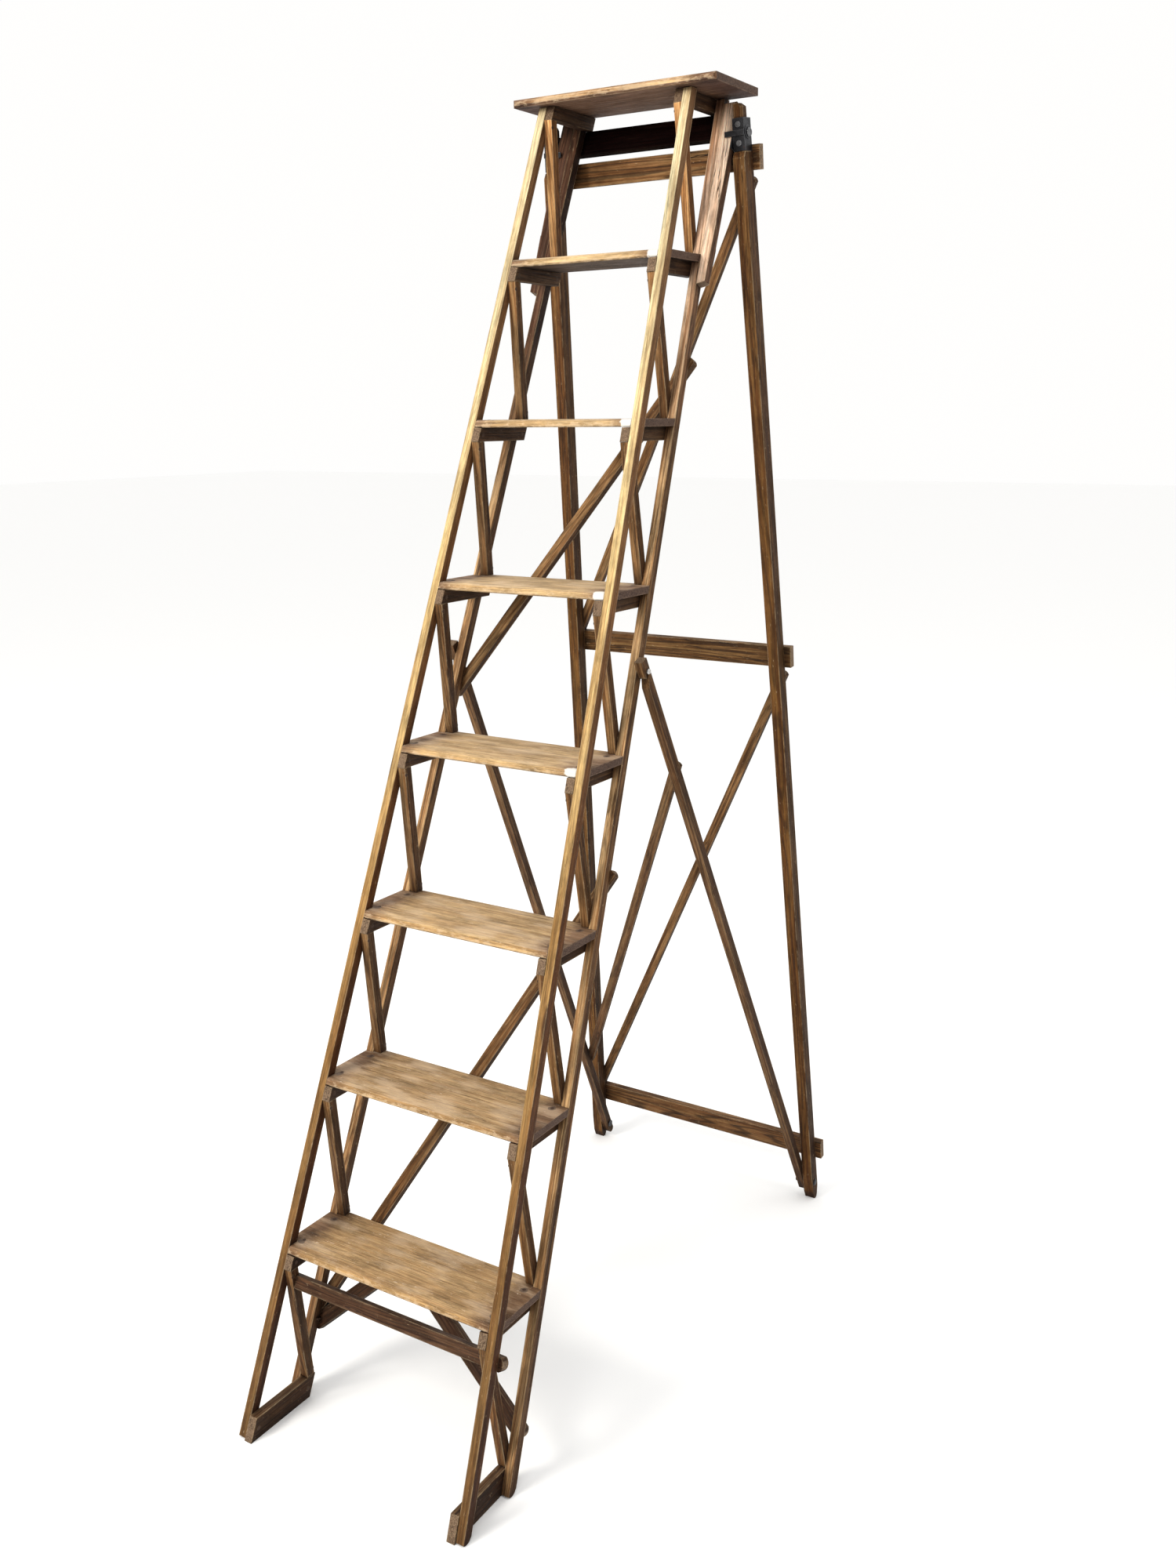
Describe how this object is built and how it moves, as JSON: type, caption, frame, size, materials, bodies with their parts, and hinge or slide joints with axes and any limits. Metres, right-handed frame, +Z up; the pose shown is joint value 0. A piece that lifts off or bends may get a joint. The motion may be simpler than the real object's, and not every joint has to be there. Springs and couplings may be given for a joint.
{
  "type": "folding lattice step ladder",
  "caption": "Tall folding wooden step ladder with lattice-braced sides, a top platform, a hinged braced prop and a hooked folding stay.",
  "frame": {"origin": "on the floor, under the middle of the opened ladder's box", "axes": "+Z up, +Y from the treads' side towards the prop, +X to the right of a person facing the treads"},
  "size_m": [0.5284, 1.118, 1.997],
  "materials": {
    "worn_tread_pine": "worn and trodden",
    "honey_pine": "old varnish, worn",
    "brown_pine": "old varnish",
    "dark_pine": "dark with age",
    "prop_pine": "old varnish",
    "black_iron": "black, worn",
    "old_nail_iron": "rusty",
    "bright_steel": "polished by wear"
  },
  "bodies": {
    "ladder": {"front_stile_left": "honey_pine", "front_stile_right": "honey_pine", "rear_stile_left": "brown_pine", "rear_stile_right": "brown_pine", "platform": "worn_tread_pine", "tread_1": "worn_tread_pine", "tread_2": "worn_tread_pine", "tread_3": "worn_tread_pine", "tread_4": "worn_tread_pine", "tread_5": "worn_tread_pine", "tread_6": "worn_tread_pine", "tread_7": "worn_tread_pine", "bearers_1": "dark_pine", "bearers_2": "dark_pine", "bearers_3": "dark_pine", "bearers_4": "dark_pine", "bearers_5": "dark_pine", "bearers_6": "dark_pine", "bearers_7": "dark_pine", "bearers_8": "dark_pine", "lattice_1": "dark_pine", "lattice_2": "dark_pine", "lattice_3": "dark_pine", "lattice_4": "dark_pine", "lattice_5": "dark_pine", "lattice_6": "dark_pine", "lattice_7": "dark_pine", "lattice_8": "dark_pine", "foot_bar_left": "dark_pine", "foot_bar_right": "dark_pine", "front_cross_rail": "dark_pine", "knee_brace_left": "dark_pine", "knee_brace_right": "dark_pine", "back_diagonal_lower": "dark_pine", "back_diagonal_upper": "dark_pine", "top_back_rail": "dark_pine", "cheek_left": "brown_pine", "cheek_right": "brown_pine", "cheek_plates": "black_iron", "catch_pins": "bright_steel", "tread_nails": "old_nail_iron", "side_nails": "old_nail_iron", "back_nails": "old_nail_iron"},
    "prop": {"prop_leg_left": "prop_pine", "prop_leg_right": "prop_pine", "prop_rail_top": "prop_pine", "prop_rail_middle": "prop_pine", "prop_rail_bottom": "prop_pine", "prop_diagonal_upper": "prop_pine", "prop_diagonal_lower": "prop_pine", "prop_nails": "old_nail_iron", "leg_straps": "black_iron", "strap_screws": "black_iron", "hinge_pins": "black_iron", "stay_pivots": "black_iron"},
    "stay": {"stay_strut_left": "dark_pine", "stay_strut_right": "dark_pine", "stay_cross_brace": "dark_pine", "stay_nails": "old_nail_iron"}
  },
  "joints": [
    {"name": "prop_fold", "type": "hinge", "parent": "ladder", "child": "prop", "pos_m": [0, 0.30779, 1.93], "axis": [-1, 0, 0], "range_deg": [0, 25.5]},
    {"name": "stay_fold", "type": "hinge", "parent": "prop", "child": "stay", "pos_m": [0, 0.54037, 0.036], "axis": [-1, 0, 0], "range_deg": [0, 17.9]}
  ],
  "couplings": [
    {"joint": "stay_fold", "follows": "prop_fold", "ratio": 0.7}
  ]
}
